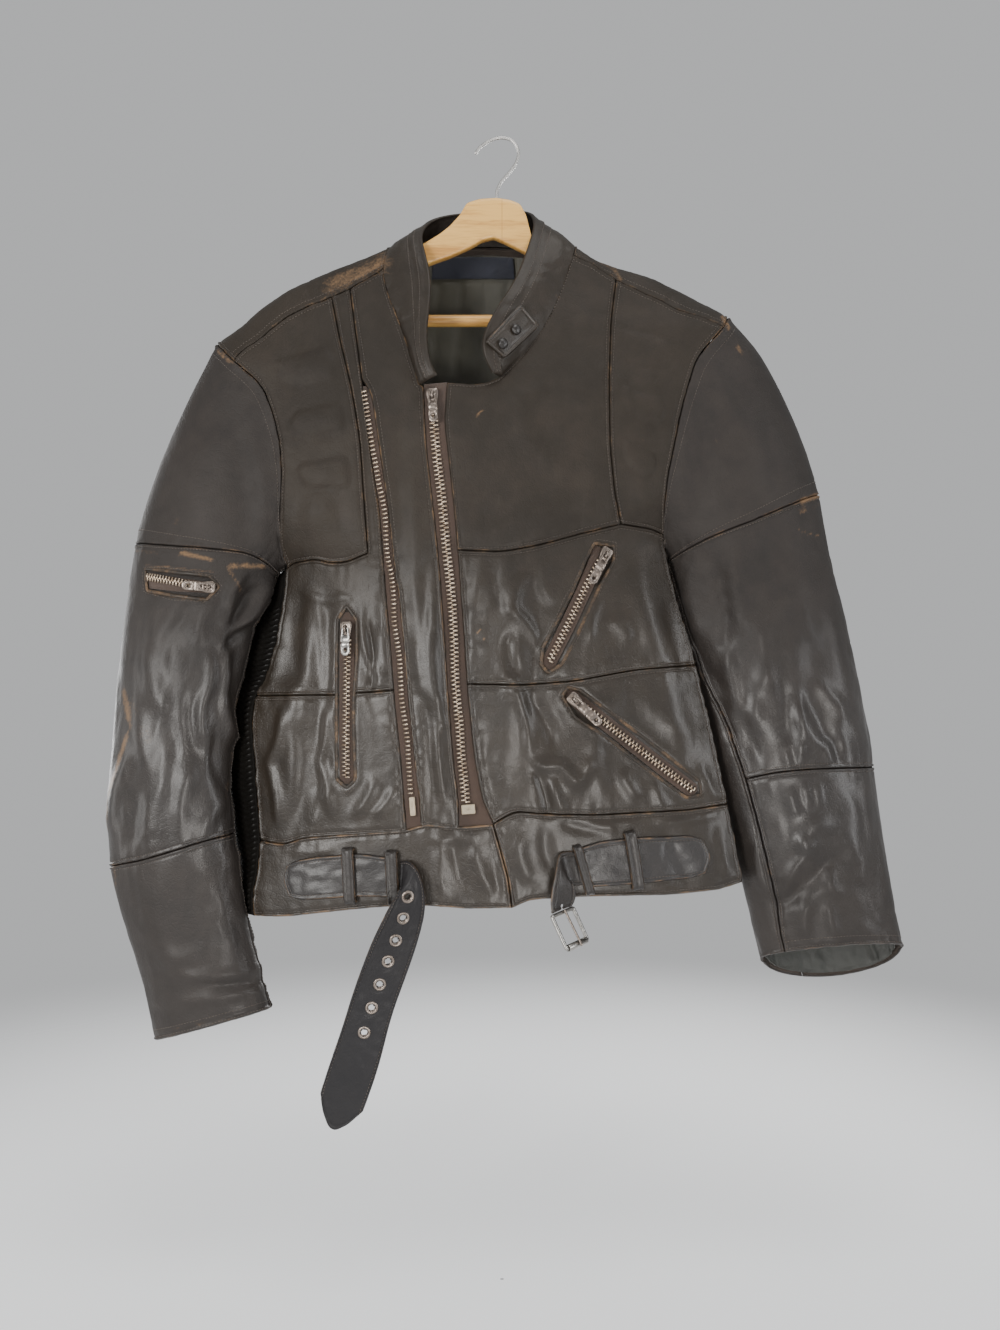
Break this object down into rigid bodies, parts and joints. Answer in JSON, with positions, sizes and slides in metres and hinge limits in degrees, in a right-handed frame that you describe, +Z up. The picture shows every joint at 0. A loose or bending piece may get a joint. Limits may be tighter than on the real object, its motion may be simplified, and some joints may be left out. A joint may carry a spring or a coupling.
{
  "type": "leather jacket on a wooden hanger",
  "caption": "Worn dark brown leather motorcycle jacket with an off-centre zip, open standing collar and loose waist belt, hanging on a wooden hanger.",
  "frame": {"origin": "top of the inside of the hanger's hook, where it rests on a rail", "axes": "+Z up, +X to the wearer's left, -Y out of the jacket's front"},
  "size_m": [0.7982, 0.1551, 0.9656],
  "materials": {
    "leather": "worn, semi-gloss, dark brown",
    "lining": "dark olive satin",
    "label": "woven, bare",
    "zip": "brown tape with bronze teeth",
    "metal": "antique grey, worn bright at edges",
    "wire": "dull zinc wire",
    "wood": "pale, clear varnish"
  },
  "bodies": {
    "jacket": {"back_lining": "lining", "back_panel": "leather", "back_waistband": "leather", "belt_loop_left_1": "leather", "belt_loop_left_2": "leather", "belt_loop_right_1": "leather", "belt_loop_right_2": "leather", "belt_strap_left": "leather", "belt_strap_right": "leather", "belt_tail": "leather", "centre_front_left": "leather", "centre_front_right": "leather", "chest_panel_left": "leather", "chest_panel_right": "leather", "chest_pocket_zip": "zip", "chest_pocket_zip_slider": "metal", "collar": "leather", "collar_tab": "leather", "cuff_lining_left": "lining", "hanger_hook": "wire", "hanger_wood": "wood", "lower_panel_left": "leather", "lower_panel_right": "leather", "lower_pocket_zip": "zip", "lower_pocket_zip_slider": "metal", "main_zip": "zip", "main_zip_slider": "metal", "neck_label": "label", "open_zip_half": "zip", "shoulder_panel_left": "leather", "shoulder_panel_right": "leather", "shoulder_yoke_left": "leather", "shoulder_yoke_right": "leather", "side_gusset_left": "leather", "side_gusset_right": "leather", "side_pocket_zip": "zip", "side_pocket_zip_slider": "metal", "sleeve_cap_left": "leather", "sleeve_cap_right": "leather", "sleeve_elbow_left": "leather", "sleeve_elbow_right": "leather", "sleeve_forearm_left": "leather", "sleeve_forearm_right": "leather", "sleeve_pocket_zip": "zip", "sleeve_pocket_zip_slider": "metal", "tab_snap_lower": "metal", "tab_snap_upper": "metal", "trouser_bar": "wood", "undersleeve_left": "leather", "undersleeve_right": "leather", "waistband_left": "leather", "waistband_right": "leather"},
    "buckle": {"buckle_frame": "metal"},
    "prong": {"buckle_prong": "metal"},
    "roller": {"buckle_roller": "metal"},
    "chest_pull": {"chest_pocket_zip_pull": "metal"},
    "lower_pull": {"lower_pocket_zip_pull": "metal"},
    "main_pull": {"main_zip_pull": "metal"},
    "side_pull": {"side_pocket_zip_pull": "metal"},
    "sleeve_pull": {"sleeve_pocket_zip_pull": "metal"}
  },
  "joints": [
    {"name": "main_pull_hinge", "type": "hinge", "parent": "jacket", "child": "main_pull", "pos_m": [-0.06691, -0.06041, -0.26805], "axis": [-0.9933, 0.0826, -0.0809], "range_deg": [0, 150]},
    {"name": "side_pull_hinge", "type": "hinge", "parent": "jacket", "child": "side_pull", "pos_m": [-0.15119, -0.04873, -0.49107], "axis": [-0.9552, 0.2955, -0.0146], "range_deg": [0, 150]},
    {"name": "chest_pull_hinge", "type": "hinge", "parent": "jacket", "child": "chest_pull", "pos_m": [0.1004, -0.04936, -0.41968], "axis": [-0.8476, -0.2276, 0.4794], "range_deg": [0, 150]},
    {"name": "lower_pull_hinge", "type": "hinge", "parent": "jacket", "child": "lower_pull", "pos_m": [0.06979, -0.0588, -0.55953], "axis": [-0.6862, -0.0792, -0.7231], "range_deg": [0, 150]},
    {"name": "sleeve_pull_hinge", "type": "hinge", "parent": "jacket", "child": "sleeve_pull", "pos_m": [-0.28216, -0.05619, -0.45134], "axis": [0.08, -0.0468, 0.9957], "range_deg": [0, 150]},
    {"name": "buckle_hinge", "type": "hinge", "parent": "jacket", "child": "buckle", "pos_m": [0.04672, -0.082, -0.76211], "axis": [0.6539, 0.7465, 0.1228], "range_deg": [-40, 75]},
    {"name": "prong_hinge", "type": "hinge", "parent": "buckle", "child": "prong", "pos_m": [0.04672, -0.082, -0.76211], "axis": [-0.6539, -0.7465, -0.1228], "range_deg": [0, 80]},
    {"name": "roller_spin", "type": "hinge", "parent": "buckle", "child": "roller", "pos_m": [0.06137, -0.08722, -0.79048], "axis": [0.6539, 0.7465, 0.1228], "continuous": true}
  ]
}
